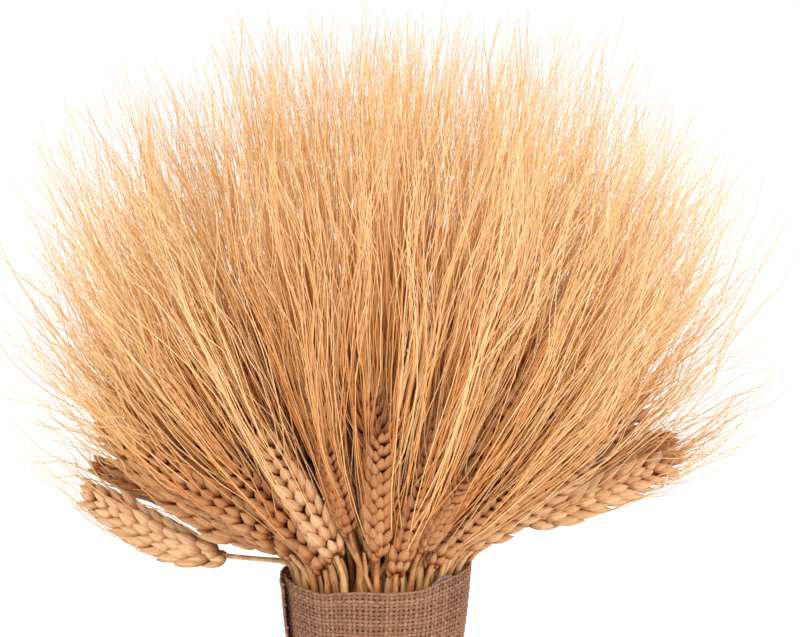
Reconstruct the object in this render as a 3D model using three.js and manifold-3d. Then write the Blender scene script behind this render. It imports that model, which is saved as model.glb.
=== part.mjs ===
// A bundle of dried bearded wheat that stands on its level-cut straws.
// Ninety-one stalks are packed in rings, tied at the waist, sleeved in clear film and wrapped in
// burlap. Above the wrap's rim the stalks fan out, wide to the sides and less to front and back,
// so every stalk follows one smooth flow, with a small lean of its own, and none cuts another.
// Millimetres, +Z up, the cut ends on z = 0, the front towards -Y.
import * as THREE from 'three';
import { mergeVertices } from 'three/addons/utils/BufferGeometryUtils.js';
import Module from 'manifold-3d';

const wasm = await Module();
wasm.setup();

// Heights
const RIM_Z = 150;
const TIE_Z = 80;
const WRAP_FOOT_Z = 40;

// The waist: [height, radius of the outermost ring of straws, radius of a straw], from the cut
// ends up to the rim. Straws and casings run straight between these stations.
const WAIST = [[0, 36, 2.2], [WRAP_FOOT_Z, 31, 2.25], [TIE_Z, 26, 2.3], [115, 33.4, 1.9],
  [RIM_Z, 37.4, 1.6]];
const [, RIM_RING_R, RIM_STRAW_R] = WAIST[WAIST.length - 1];

// Stalks: ring k holds 6k of them, and the inner rings' straws are joined in a fluted column
const RINGS = 5;
const JOINED_RINGS = 3;
const SEED = 11;
const SCATTER = { turn: 0.08, neck: 5, stagger: 2.5, twist: 0.3, awn_turn: 0.25, side: 0.03, front: 0.06 };
const NECK_R = 1.25;
const STRAW_SIDES = 6;
const FLUTE = { depth: 0.11, points: 4 };
const STUB_SUNK = 12;

// The fan: lean of the outermost stalks, the stretch over which they bend, from under the rim to
// over it, and the upturn. Some front stalks lean more or less: [stalk number, extra share]. One
// of them is kinked over the rim, nearly level there, and turns up again further out.
const LEAN_SIDE = THREE.MathUtils.degToRad(66);
const LEAN_FRONT = THREE.MathUtils.degToRad(26);
const BEND_UNDER = 6;
const BEND = 22;
const SET_LEANS = new Map([[75, 0.05], [76, 0.05], [77, -0.1], [78, -0.08], [87, -0.2], [88, -0.12]]);
const KINKED = { number: 76, bend: 9, lean: 0.3, less: 0.42, from: 22, to: 75 };
const UPTURN = { share: 0.12, from: 105, to: 200 };
const FLOW_STEP = 2;

// Neck: straw between the rim and the ear, in the middle and how much shorter towards the edges,
// and the front stalks whose ears sit higher or lower than that: [stalk number, neck]
const NECK = { middle: 48, side_cut: 12, front_cut: 34 };
const SET_NECKS = new Map([[76, 31], [77, 22], [78, 9], [79, 27], [80, 3], [81, 12], [82, 27],
  [83, 13], [84, 3], [85, 18], [86, 6], [87, 20], [88, 12], [89, 38]]);

// Ears and awns. Some front ears are longer or shorter: [stalk number, share of the length]
const EAR_LENGTH = 76;
const SET_EARS = new Map([[77, 1.18], [78, 1.06], [82, 0.7], [84, 0.8], [85, 0.6], [86, 0.8]]);
const EAR_HALF_WIDTH = 6;
const EAR_HALF_THICKNESS = 4.5;
const EAR_OUTLINE = [[0.06, 0.7], [0.26, 1], [0.6, 0.92], [0.87, 0.56]];
const AWNS = 2;
const AWN_R = { root: 0.8, tip: 0.35 };
const AWN_ROOT_SHARE = 0.55;
const AWN_SPREAD = 0.075;
const INNER_AWN_CUT = 8;
const REACH = { upright: 254, spread: 122, from: 0.4, to: 1.25 };

// Casings round the straws, from the inside out, with the running gap between neighbours
const GAP = 0.3;
const BAND = { thickness: 1, height: 14 };
const SLEEVE = { thickness: 0.5, below_rim: 3, peek: 4, peek_turn: -0.65 };
const WRAP = { thickness: 1.5, lap: 0.9, lap_turn: -2.75, tilt_x: 0.07, tilt_y: 0.045 };
const CASING_SIDES = 40;
const RIM_ONLY = 8;
const WELD = 1e-3;

const COLOURS = { straw: 0xd9b078, core: 0xb98a55, burlap: 0x9c7054, film: 0xd4d6de, band: 0xc9b48a };

const { smoothstep } = THREE.MathUtils;
const AXIS_Y = new THREE.Vector3(0, 1, 0);
const AXIS_Z = new THREE.Vector3(0, 0, 1);

// Repeatable scatter between -1 and 1 for stalk number and trait
function scatter(stalk, trait) {
  const wave = Math.sin((stalk + SEED) * 12.9898 + trait * 78.233) * 43758.5453;
  return 2 * (wave - Math.floor(wave)) - 1;
}

// Radius of the outermost ring of straws and of a straw at a height up to the rim
function waistAt(z) {
  const upper = Math.max(1, WAIST.findIndex(([height]) => height >= Math.min(z, RIM_Z)));
  const [[low, ringLow, strawLow], [high, ringHigh, strawHigh]] = WAIST.slice(upper - 1, upper + 1);
  const share = (Math.min(z, RIM_Z) - low) / (high - low);
  return { ring: ringLow + share * (ringHigh - ringLow), straw: strawLow + share * (strawHigh - strawLow) };
}

// Direction of growth at a length past the rim for a stalk that leans to (side, front) of the
// unit disc
function growth({ number, side, front }, past) {
  const kinked = number === KINKED.number;
  let share = smoothstep(past, -BEND_UNDER, kinked ? KINKED.bend : BEND)
    * (1 - UPTURN.share * smoothstep(past, UPTURN.from, UPTURN.to));
  if (kinked) share *= 1 + KINKED.lean - KINKED.less * smoothstep(past, KINKED.from, KINKED.to);
  const lean = new THREE.Vector2(side * LEAN_SIDE, front * LEAN_FRONT).multiplyScalar(share);
  const angle = lean.length();
  const flat = angle > 1e-9 ? Math.sin(angle) / angle : 0;
  return new THREE.Vector3(lean.x * flat, lean.y * flat, Math.cos(angle));
}

// Point of the flow of a stalk at (u, v) of the unit disc: straight up inside the wrap, then
// along the direction of growth
function flowPoint(stalk, past) {
  const { u, v } = stalk;
  if (past <= 0) {
    const radius = waistAt(RIM_Z + past).ring;
    return new THREE.Vector3(u * radius, v * radius, RIM_Z + past);
  }
  const point = new THREE.Vector3(u * RIM_RING_R, v * RIM_RING_R, RIM_Z);
  const steps = Math.ceil(past / FLOW_STEP);
  for (let i = 0; i < steps; i += 1) {
    point.addScaledVector(growth(stalk, ((i + 0.5) / steps) * past), past / steps);
  }
  return point;
}

// A lathe-turned outline, [length along the stalk, half width, half thickness], bent along a
// route. The flat side of what it makes faces the front and the back of the fan.
function bentTurning(outline, sides, route, twist) {
  const last = outline.length - 1;
  const profile = outline.map(([along, radius]) => new THREE.Vector2(radius, along));
  profile.unshift(new THREE.Vector2(0, outline[0][0]));
  profile.push(new THREE.Vector2(0, outline[last][0]));
  const geometry = new THREE.LatheGeometry(profile, sides);
  const flatness = new Map(outline.map(([along, wide, thick]) => [Math.fround(along), thick / wide]));
  const position = geometry.attributes.position;
  for (let i = 0; i < position.count; i += 1) {
    const along = position.getY(i);
    const wide = position.getX(i);
    const thick = position.getZ(i) * flatness.get(along);
    const tangent = along <= 0 ? AXIS_Z.clone() : route(along + 0.5).sub(route(along - 0.5)).normalize();
    const across = new THREE.Vector3().crossVectors(AXIS_Y, tangent).normalize();
    const through = new THREE.Vector3().crossVectors(across, tangent);
    const point = route(along);
    point.addScaledVector(across, wide * Math.cos(twist) - thick * Math.sin(twist));
    point.addScaledVector(through, wide * Math.sin(twist) + thick * Math.cos(twist));
    position.setXYZ(i, point.x, point.y, point.z);
  }
  return geometry;
}

// Closed mesh to manifold solid: weld the seams, drop the flat triangles at the poles
function toSolid(geometry) {
  const bare = geometry.clone();
  bare.deleteAttribute('normal');
  bare.deleteAttribute('uv');
  const welded = mergeVertices(bare, WELD);
  const corners = welded.index.array;
  const triangles = [];
  for (let i = 0; i < corners.length; i += 3) {
    const [a, b, c] = corners.slice(i, i + 3);
    if (a !== b && b !== c && c !== a) triangles.push(a, b, c);
  }
  return new wasm.Manifold(new wasm.Mesh({
    numProp: 3,
    vertProperties: welded.attributes.position.array,
    triVerts: Uint32Array.from(triangles),
  }));
}

function toGeometry(solid) {
  const { vertProperties, triVerts } = solid.getMesh();
  const geometry = new THREE.BufferGeometry();
  geometry.setAttribute('position', new THREE.BufferAttribute(vertProperties, 3));
  geometry.setIndex(new THREE.BufferAttribute(triVerts, 1));
  geometry.computeVertexNormals();
  return geometry;
}

const bundle = new THREE.Group();

function addPiece(name, solid, colour, roughness) {
  const material = new THREE.MeshStandardMaterial({ color: colour, roughness, metalness: 0 });
  const piece = new THREE.Mesh(toGeometry(solid), material);
  piece.name = name;
  bundle.add(piece);
}

// Every stalk's place on the unit disc, its lean, its neck length and its twist
function stalkAt(ring, index) {
  const number = ring === 0 ? 0 : 3 * ring * (ring - 1) + 1 + index;
  const turn = (index + 0.5 * (ring % 2) + SCATTER.turn * scatter(number, 1)) / Math.max(1, 6 * ring);
  const u = (ring / RINGS) * Math.cos(2 * Math.PI * turn);
  const v = (ring / RINGS) * Math.sin(2 * Math.PI * turn);
  const side = u * (1 + (SET_LEANS.get(number) ?? 0)) + SCATTER.side * scatter(number, 6);
  const front = v + SCATTER.front * scatter(number, 10);
  const neck = SET_NECKS.get(number) ?? NECK.middle - NECK.side_cut * u * u - NECK.front_cut * v * v
    + SCATTER.neck * scatter(number, 2) + SCATTER.stagger * (index % 2 ? 1 : -1);
  return { number, u, v, side, front, neck, twist: SCATTER.twist * scatter(number, 3) };
}

// How far past the rim the awns reach: less where the stalk leans more
function reach({ side, front }) {
  const lean = Math.hypot(side * LEAN_SIDE, front * LEAN_FRONT);
  return REACH.upright + (REACH.spread - REACH.upright) * smoothstep(lean, REACH.from, REACH.to);
}

// One stalk: straw and ear in one turning, with two of its awns as long thin tapers, one on the
// fan's outer side and one on its inner side
function makeStalk(stalk, strawOutline) {
  const { number, side, front, neck, twist } = stalk;
  const length = EAR_LENGTH * (SET_EARS.get(number) ?? 1);
  const straw = strawOutline.filter(([along]) => along < neck - NECK_R);
  const ear = EAR_OUTLINE.map(([share, swell]) => [
    neck + share * length, swell * EAR_HALF_WIDTH, swell * EAR_HALF_THICKNESS]);
  const outline = [...straw, [neck, NECK_R, NECK_R], ...ear, [neck + length, NECK_R, NECK_R]];
  let grown = toSolid(bentTurning(outline, STRAW_SIDES, (along) => flowPoint(stalk, along), twist));
  const root = neck + AWN_ROOT_SHARE * length;
  const end = reach(stalk);
  for (let i = 0; i < AWNS; i += 1) {
    const share = (i + SCATTER.awn_turn * scatter(number, 4)) / AWNS;
    const turn = Math.atan2(front, side) + 2 * Math.PI * share;
    const route = (along) => {
      const spread = AWN_SPREAD * (0.2 + 0.8 * smoothstep(along, root, end));
      return flowPoint({
        ...stalk, side: side + spread * Math.cos(turn), front: front + spread * Math.sin(turn),
      }, along);
    };
    const taper = [[root, AWN_R.root, AWN_R.root], [(root + end) / 2, AWN_R.root, AWN_R.root],
      [end - INNER_AWN_CUT * i, AWN_R.tip, AWN_R.tip]];
    grown = grown.add(toSolid(bentTurning(taper, 3, route, 0)));
  }
  return grown;
}

// Outer and middle stalks, each a piece of its own
const strawOutline = WAIST.map(([z, , radius]) => [z - RIM_Z, radius, radius]);
for (const share of [0.5, 1]) {
  strawOutline.push([share * BEND, RIM_STRAW_R, RIM_STRAW_R]);
}

function addRing(name, ring) {
  for (let index = 0; index < 6 * ring; index += 1) {
    const number = String(index + 1).padStart(2, '0');
    addPiece(`${name}_${number}`, makeStalk(stalkAt(ring, index), strawOutline), COLOURS.straw, 0.8);
  }
}

addRing('outer_stalk', RINGS);
addRing('middle_stalk', RINGS - 1);

// Inner stalks, joined: their packed straws are one fluted column, and ears rise from it
function makeInnerStalks() {
  const flutes = 6 * JOINED_RINGS;
  const share = JOINED_RINGS / RINGS;
  const outline = new THREE.Shape();
  for (let i = 0; i < flutes * FLUTE.points; i += 1) {
    const angle = (2 * Math.PI * i) / (flutes * FLUTE.points);
    const radius = 1 + FLUTE.depth * Math.abs(Math.cos((angle * flutes) / 2));
    if (i === 0) outline.moveTo(radius, 0);
    else outline.lineTo(radius * Math.cos(angle), radius * Math.sin(angle));
  }
  outline.closePath();
  const levels = WAIST.length - 1;
  const column = new THREE.ExtrudeGeometry(outline, { depth: levels, steps: levels, bevelEnabled: false });
  const position = column.attributes.position;
  for (let i = 0; i < position.count; i += 1) {
    const [height, ringRadius, straw] = WAIST[Math.round(position.getZ(i))];
    const radius = (share * ringRadius + straw) / (1 + FLUTE.depth);
    position.setXYZ(i, position.getX(i) * radius, position.getY(i) * radius, height);
  }
  let joined = toSolid(column);
  const stub = [[-STUB_SUNK, RIM_STRAW_R, RIM_STRAW_R], [0.5 * BEND, RIM_STRAW_R, RIM_STRAW_R]];
  for (let ring = 0; ring <= JOINED_RINGS; ring += 1) {
    for (let index = 0; index < Math.max(1, 6 * ring); index += Math.max(1, ring)) {
      joined = joined.add(makeStalk(stalkAt(ring, index), stub));
    }
  }
  return joined;
}

addPiece('inner_stalks', makeInnerStalks(), COLOURS.core, 0.85);

// A casing that follows the waist: turned from a closed profile, then shaped point by point
function makeCasing(from, to, inset, thickness, shape) {
  const wall = (z) => waistAt(z).ring + waistAt(z).straw + inset;
  const between = WAIST.map(([z]) => z).filter((z) => z > from && z < to);
  const heights = [from, ...between, to];
  const outside = heights.map((z) => new THREE.Vector2(wall(z) + thickness, z));
  const inside = heights.reverse().map((z) => new THREE.Vector2(wall(z), z));
  const profile = [...outside, ...inside, outside[0].clone()];
  const casing = new THREE.LatheGeometry(profile, CASING_SIDES);
  casing.rotateX(Math.PI / 2);
  const position = casing.attributes.position;
  const point = new THREE.Vector3();
  for (let i = 0; i < position.count; i += 1) {
    point.fromBufferAttribute(position, i);
    const isOutside = Math.hypot(point.x, point.y) > wall(point.z) + thickness / 2;
    shape(point, (point.z - from) / (to - from), isOutside);
    position.setXYZ(i, point.x, point.y, point.z);
  }
  return toSolid(casing);
}

const BAND_INSET = GAP;
const SLEEVE_INSET = BAND_INSET + BAND.thickness + GAP;
const WRAP_INSET = SLEEVE_INSET + SLEEVE.thickness + 2 * GAP;

// Rubber band that holds the straws together at the waist
addPiece('binding_band', makeCasing(TIE_Z - BAND.height / 2, TIE_Z + BAND.height / 2, BAND_INSET,
  BAND.thickness, () => {}), COLOURS.band, 0.6);

// Clear film sleeve over the tied straws, peeping over the rim at the front right
addPiece('film_sleeve', makeCasing(WRAP_FOOT_Z + 4, RIM_Z - SLEEVE.below_rim, SLEEVE_INSET,
  SLEEVE.thickness, (point, up) => {
    const away = Math.atan2(point.y, point.x) - SLEEVE.peek_turn;
    const peek = Math.max(0, Math.cos(away)) ** 6;
    point.z += SLEEVE.peek * peek * up ** RIM_ONLY;
  }), COLOURS.film, 0.25);

// Burlap strip rolled once round: thickest just behind its free edge on the left, where it laps
addPiece('burlap_wrap', makeCasing(WRAP_FOOT_Z, RIM_Z, WRAP_INSET, WRAP.thickness,
  (point, up, outside) => {
    if (outside) {
      const turn = Math.atan2(point.y, point.x) - WRAP.lap_turn;
      const share = (turn / (2 * Math.PI) + 2 + 1e-6) % 1;
      const radius = Math.hypot(point.x, point.y);
      const grown = (radius + WRAP.lap * share) / radius;
      point.x *= grown;
      point.y *= grown;
    }
    point.z += (WRAP.tilt_x * point.x + WRAP.tilt_y * point.y) * up ** RIM_ONLY;
  }), COLOURS.burlap, 0.95);

export default bundle;
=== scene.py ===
# A bundle of dried bearded wheat, tied at the waist, sleeved in clear film and wrapped in burlap.
# Metres, +Z up, the cut ends on z = 0, the front towards -Y.
import math
import random

import bmesh
import bpy
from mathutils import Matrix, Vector, noise


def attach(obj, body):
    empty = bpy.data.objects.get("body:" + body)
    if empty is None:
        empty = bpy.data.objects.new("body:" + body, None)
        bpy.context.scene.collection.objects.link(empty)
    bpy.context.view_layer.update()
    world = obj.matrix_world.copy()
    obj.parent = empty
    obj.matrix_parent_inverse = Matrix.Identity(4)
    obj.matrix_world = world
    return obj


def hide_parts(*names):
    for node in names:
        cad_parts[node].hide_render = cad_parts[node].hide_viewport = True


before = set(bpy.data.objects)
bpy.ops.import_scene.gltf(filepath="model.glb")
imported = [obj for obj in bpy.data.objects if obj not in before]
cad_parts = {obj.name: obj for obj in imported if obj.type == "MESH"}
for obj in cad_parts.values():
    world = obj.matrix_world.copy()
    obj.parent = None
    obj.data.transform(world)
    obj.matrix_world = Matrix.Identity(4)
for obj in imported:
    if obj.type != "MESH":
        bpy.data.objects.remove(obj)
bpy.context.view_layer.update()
MM = 0.001

# ---------------------------------------------------------------------------------------------
# Studio: a plain white floor under an even white sky, one large soft key from the front left
# and a fill nearly as strong from the front right. The camera looks slightly down at the front.
# ---------------------------------------------------------------------------------------------
scene = bpy.context.scene
scene.view_settings.view_transform = "Standard"


class Wire:
    """A node's output. Sums and products of wires add maths nodes to their tree."""

    def __init__(self, socket):
        self.socket = socket
        self.tree = socket.id_data

    def out(self, name):
        return Wire(self.socket.node.outputs[name])

    def maths(self, operation, *terms):
        vector = any(isinstance(t, Wire) and t.socket.type in ("VECTOR", "RGBA") for t in terms)
        kind = "ShaderNodeVectorMath" if vector else "ShaderNodeMath"
        return node(self.tree, kind, dict(enumerate(terms)), operation=operation)

    def __add__(self, other):
        return self.maths("ADD", self, other)

    def __sub__(self, other):
        return self.maths("SUBTRACT", self, other)

    def __rsub__(self, other):
        return self.maths("SUBTRACT", other, self)

    def __mul__(self, other):
        return self.maths("MULTIPLY", self, other)

    def __truediv__(self, other):
        return self.maths("DIVIDE", self, other)

    def __pow__(self, other):
        return self.maths("POWER", self, other)

    def __gt__(self, other):
        return self.maths("GREATER_THAN", self, other)

    __radd__ = __add__
    __rmul__ = __mul__


def node(tree, kind, inputs=None, stops=None, **settings):
    """Adds a node: its settings and stops first, then the values or wires of its sockets."""
    made = tree.nodes.new(kind)
    for name, value in settings.items():
        setattr(made, name, value)
    if kind == "ShaderNodeValToRGB":
        ramp = made.color_ramp
        while len(ramp.elements) < len(stops):
            ramp.elements.new(1)
        for element, (place, colour) in zip(ramp.elements, stops):
            element.position = place
            element.color = (*colour, 1)
    elif kind == "ShaderNodeFloatCurve":
        points = made.mapping.curves[0].points
        while len(points) < len(stops):
            points.new(1, 1)
        for point, place in zip(points, stops):
            point.location = place
        made.mapping.update()
    for name, value in (inputs or {}).items():
        socket = made.inputs[name]
        if isinstance(value, Wire):
            tree.links.new(value.socket, socket)
        elif socket.type == "VECTOR" and isinstance(value, (int, float)):
            socket.default_value = (value, value, value)
        elif socket.type == "RGBA":
            socket.default_value = (*value, 1)
        else:
            socket.default_value = value
    shown = [socket for socket in made.outputs if socket.enabled]
    return Wire(shown[0]) if shown else made


def finish_of(name, **constants):
    """A new material and its shader, whose unchanging values are set on the shader itself."""
    material = bpy.data.materials.new(name)
    material.use_nodes = True
    tree = material.node_tree
    shader = tree.nodes["Principled BSDF"]
    for socket, value in constants.items():
        shader.inputs[socket.replace("_", " ")].default_value = value
    return material, tree, shader


def wire_up(tree, shader, **wires):
    for socket, value in wires.items():
        tree.links.new(value.socket, shader.inputs[socket.replace("_", " ")])


VIEW_TILT = math.radians(10)
VIEW_DISTANCE = 1.25
VIEW_LENS = 125
VIEW_CENTRE = Vector((0.0103, 0, 0.265))

camera = bpy.data.objects.new("camera", bpy.data.cameras.new("camera"))
camera.data.lens = VIEW_LENS
camera.data.sensor_width = 36
camera.location = VIEW_CENTRE + VIEW_DISTANCE * Vector((0, -math.cos(VIEW_TILT), math.sin(VIEW_TILT)))
camera.rotation_euler = (math.pi / 2 - VIEW_TILT, 0, 0)
scene.collection.objects.link(camera)
scene.camera = camera

world = bpy.data.worlds.new("white_sky")
world.use_nodes = True
world.node_tree.nodes["Background"].inputs["Color"].default_value = (1, 1, 1, 1)
world.node_tree.nodes["Background"].inputs["Strength"].default_value = 1.12
scene.world = world


def add_softbox(name, place, size, power, tint):
    lamp = bpy.data.lights.new(name, "AREA")
    lamp.shape = "DISK"
    lamp.size = size
    lamp.energy = power
    lamp.color = tint
    softbox = bpy.data.objects.new(name, lamp)
    softbox.location = place
    softbox.rotation_euler = (VIEW_CENTRE - Vector(place)).to_track_quat("-Z", "Y").to_euler()
    scene.collection.objects.link(softbox)


add_softbox("key", (-0.8, -1.5, 1.5), 0.7, 18, (1, 0.99, 0.975))
add_softbox("fill", (1.3, -1.3, 0.8), 0.8, 17, (1, 0.995, 0.985))

floor_mesh = bpy.data.meshes.new("studio_floor")
floor_form = bmesh.new()
bmesh.ops.create_circle(floor_form, cap_ends=True, segments=96, radius=60)
floor_form.to_mesh(floor_mesh)
floor_form.free()
floor = bpy.data.objects.new("studio_floor", floor_mesh)
floor.location.z = -0.0003
scene.collection.objects.link(floor)
floor_paint, _, floor_shader = finish_of("floor_paint", Roughness=0.9)
floor_shader.inputs["Base Color"].default_value = (0.9, 0.9, 0.9, 1)
floor_mesh.materials.append(floor_paint)

# ---------------------------------------------------------------------------------------------
# Outer and middle stalks: 54 dried wheat stalks, each grown as one piece. A hollow straw cut
# level at the foot carries a flat ear of overlapping spikelets, and most fertile florets of the
# ear end in a long, thin awn. They are packed in rings and fan out above the wrap's rim.
# ---------------------------------------------------------------------------------------------
RIM_Z = 150 * MM
WAIST = [(0, 36, 2.2), (40, 31, 2.25), (80, 26, 2.3), (115, 33.4, 1.9), (150, 37.4, 1.6)]
RIM_RING_R = WAIST[-1][1] * MM
RINGS = 5
SEED = 11
LEAN_SIDE = math.radians(66)
LEAN_FRONT = math.radians(26)
BEND_UNDER, BEND_OVER = 6 * MM, 22 * MM
PACKING_SCATTER, SIDE_SCATTER, FRONT_SCATTER = 0.08, 0.03, 0.06
LEAN_SHARES = {75: 0.05, 76: 0.05, 77: -0.1, 78: -0.08, 87: -0.2, 88: -0.12}
# kinked stalks: where the bend ends, times the usual lean, and how much of that is lost further out
KINKS = {76: (9 * MM, 1.26, 0.39), 77: (16 * MM, 1.1, 0.24)}
KINK_LOW, KINK_HIGH = 22 * MM, 75 * MM
NECK_MIDDLE, NECK_LESS_ASIDE, NECK_LESS_FRONT = 48, 12, 34
NECK_SCATTER, NECK_STAGGER = 5, 2.5
NECKS = {76: 31, 77: 22, 78: 9, 79: 27, 80: 3, 81: 12, 82: 27, 83: 13, 84: 3, 85: 18, 86: 6,
         87: 20, 88: 12, 89: 38}
UPTURN = {"share": 0.12, "low": 105 * MM, "high": 200 * MM}
REACH = {"upright": 251, "less": 119, "low": 0.4, "high": 1.25}
FLOW_STEP = 4 * MM
EAR_LENGTH = 76 * MM
EAR_SHARES = {77: 1.18, 78: 1.06, 82: 0.7, 84: 0.8, 85: 0.6, 86: 0.8}
EAR_FACES = {76: 0.15, 77: 0.25, 78: 0.9, 79: 1.5, 80: 1.3, 81: 1.35, 82: 0.8, 83: 0.2, 84: 1.4,
             85: 0.1, 86: 1.2, 87: 1.1, 88: 0.5, 89: 0.2}
EAR_GIRTHS = {76: 1.18, 77: 1.42, 78: 1.15, 81: 1.1, 84: 1.05, 88: 1.1, 89: 1.15}
# each ear's tone: partly its own, partly painted light; the middle ears, all but 81, are darkened as
# painted shade under the overhanging awns, and the right-hand ears 87 to 89 are paled as painted light
EAR_TONES_AND_PAINTED_LIGHT = {76: 2.0, 77: 0.2, 78: -0.6, 79: -1.0, 80: -1.2, 81: 1.2, 82: -2.0, 83: -1.5, 84: -1.5,
             85: -1.4, 86: -0.2, 87: 0.5, 88: 1.0, 89: 1.7}
# painted shade: how much darker a stalk is made for each ring it stands in from the outside, for the shade
# deep in the bundle
DEPTH_PAINTED_SHADE = 0.45
NECK_R = 1.15 * MM


def smooth(value, low, high):
    share = min(1, max(0, (value - low) / (high - low)))
    return share * share * (3 - 2 * share)


def scatter(stalk, trait):
    """Repeatable scatter between -1 and 1 for a stalk's number and a trait."""
    wave = math.sin((stalk + SEED) * 12.9898 + trait * 78.233) * 43758.5453
    return 2 * (wave - math.floor(wave)) - 1


def eased(station, share, column):
    """A smooth curve through a column of the waist's stations."""
    def slope(i):
        before, after = WAIST[max(0, i - 1)], WAIST[min(len(WAIST) - 1, i + 1)]
        return (after[column] - before[column]) / (after[0] - before[0])

    low, high = WAIST[station], WAIST[station + 1]
    span, rise = high[0] - low[0], high[column] - low[column]
    start, end = slope(station) * span, slope(station + 1) * span
    bend = (start + end - 2 * rise) * share + 3 * rise - 2 * start - end
    return low[column] + (bend * share + start) * share


def waist_at(z):
    """Radius of the outermost ring of straws, and of a straw, at a height up to the rim."""
    height = min(z, RIM_Z) / MM
    station = max(i for i in range(len(WAIST) - 1) if WAIST[i][0] <= max(0, height))
    share = (height - WAIST[station][0]) / (WAIST[station + 1][0] - WAIST[station][0])
    return eased(station, share, 1) * MM, eased(station, share, 2) * MM


class Stalk:
    """A stalk's place on the unit disc, its lean, neck, ear, twist and tone; the tone holds painted shade
    that darkens each ring further in.
    """

    def __init__(self, ring, index):
        self.number = 3 * ring * (ring - 1) + 1 + index if ring else 0
        turn = index + 0.5 * (ring % 2) + PACKING_SCATTER * scatter(self.number, 1)
        turn /= max(1, 6 * ring)
        self.u = ring / RINGS * math.cos(2 * math.pi * turn)
        self.v = ring / RINGS * math.sin(2 * math.pi * turn)
        self.side = self.u * (1 + LEAN_SHARES.get(self.number, 0))
        self.side += SIDE_SCATTER * scatter(self.number, 6)
        self.front = self.v + FRONT_SCATTER * scatter(self.number, 10)
        neck = NECK_MIDDLE - NECK_LESS_ASIDE * self.u ** 2 - NECK_LESS_FRONT * self.v ** 2
        neck += NECK_SCATTER * scatter(self.number, 2)
        neck += NECK_STAGGER if index % 2 else -NECK_STAGGER
        self.neck = NECKS.get(self.number, neck) * MM
        self.twist = EAR_FACES.get(self.number, 1.5 * scatter(self.number, 3))
        self.ear = EAR_LENGTH * EAR_SHARES.get(self.number, 1)
        self.depth = RINGS - ring
        # the tone is the ear's own tone, with its painted light, less painted shade for the stalk's depth
        # in the bundle
        self.tone = EAR_TONES_AND_PAINTED_LIGHT.get(self.number, scatter(self.number, 5)) - DEPTH_PAINTED_SHADE * self.depth

    def growth(self, past, aside=(0, 0)):
        """Direction of growth at a length past the rim, for an awn that leans a little aside."""
        bend_over, more, less = KINKS.get(self.number, (BEND_OVER, 1, 0))
        share = smooth(past, -BEND_UNDER, bend_over)
        share *= 1 - UPTURN["share"] * smooth(past, UPTURN["low"], UPTURN["high"])
        share *= more - less * smooth(past, KINK_LOW, KINK_HIGH)
        side = (self.side + aside[0]) * LEAN_SIDE * share
        front = (self.front + aside[1]) * LEAN_FRONT * share
        angle = math.hypot(side, front)
        flat = math.sin(angle) / angle if angle > 1e-9 else 0
        return Vector((side * flat, front * flat, math.cos(angle)))

    def point(self, past, aside=(0, 0)):
        """Point of the flow: up inside the wrap, then along the direction of growth."""
        if past <= 0:
            radius = waist_at(RIM_Z + past)[0]
            return Vector((self.u * radius, self.v * radius, RIM_Z + past))
        place = Vector((self.u * RIM_RING_R, self.v * RIM_RING_R, RIM_Z))
        steps = math.ceil(past / FLOW_STEP)
        for i in range(steps):
            place += self.growth((i + 0.5) / steps * past, aside) * (past / steps)
        return place

    def reach(self, lift=0):
        """How far past the rim the awns reach: less where they lean more."""
        lean = math.hypot(self.side * (1 - lift) * LEAN_SIDE, self.front * LEAN_FRONT)
        shorter = REACH["less"] * smooth(lean, REACH["low"], REACH["high"])
        return (REACH["upright"] - shorter) * MM


class Growth:
    """Points with attributes, from which a node tree grows straws, florets and awns."""

    STRAW, FLORET, AWN = 0, 1, 2
    TRAITS = {"kind": "FLOAT", "thick": "FLOAT", "along": "FLOAT", "strand": "FLOAT", "tone": "FLOAT",
              "cell": "FLOAT", "axis": "FLOAT_VECTOR", "face": "FLOAT_VECTOR", "size": "FLOAT_VECTOR"}

    def __init__(self):
        self.points, self.edges = [], []
        self.values = {trait: [] for trait in self.TRAITS}
        self.cells = {self.STRAW: 0, self.FLORET: 0, self.AWN: 0}

    def add(self, kind, point, **traits):
        self.points.append(point)
        for trait, form in self.TRAITS.items():
            value = traits.get(trait, 0 if form == "FLOAT" else (0, 0, 0))
            self.values[trait].append(kind if trait == "kind" else value)

    def next_cell(self, kind):
        self.cells[kind] += 1
        return self.cells[kind] - 1

    def add_straw(self, route, radii, tone):
        """A straw along a route of points."""
        first, cell = len(self.points), self.next_cell(self.STRAW)
        for i, (point, radius) in enumerate(zip(route, radii)):
            self.add(self.STRAW, point, thick=radius, along=i / (len(route) - 1), tone=tone,
                     strand=random.random(), cell=cell)
        self.edges += [(i, i + 1) for i in range(first, len(self.points) - 1)]

    def add_floret(self, foot, axis, face, size, tone):
        self.add(self.FLORET, foot, axis=axis, face=face, size=size, tone=tone,
                 strand=random.random(), cell=self.next_cell(self.FLORET))

    def add_awn(self, root, grow, curl, sway, thick, tone):
        self.add(self.AWN, root, axis=grow, face=curl, size=sway, thick=thick, tone=tone,
                 strand=random.random(), cell=self.next_cell(self.AWN))

    def mesh(self, name):
        mesh = bpy.data.meshes.new(name)
        mesh.from_pydata(self.points, self.edges, [])
        for trait, form in self.TRAITS.items():
            values = self.values[trait]
            if form == "FLOAT_VECTOR":
                values = [number for vector in values for number in vector]
            held = mesh.attributes.new(trait, form, "POINT")
            held.data.foreach_set("value" if form == "FLOAT" else "vector", values)
        return mesh


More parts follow.
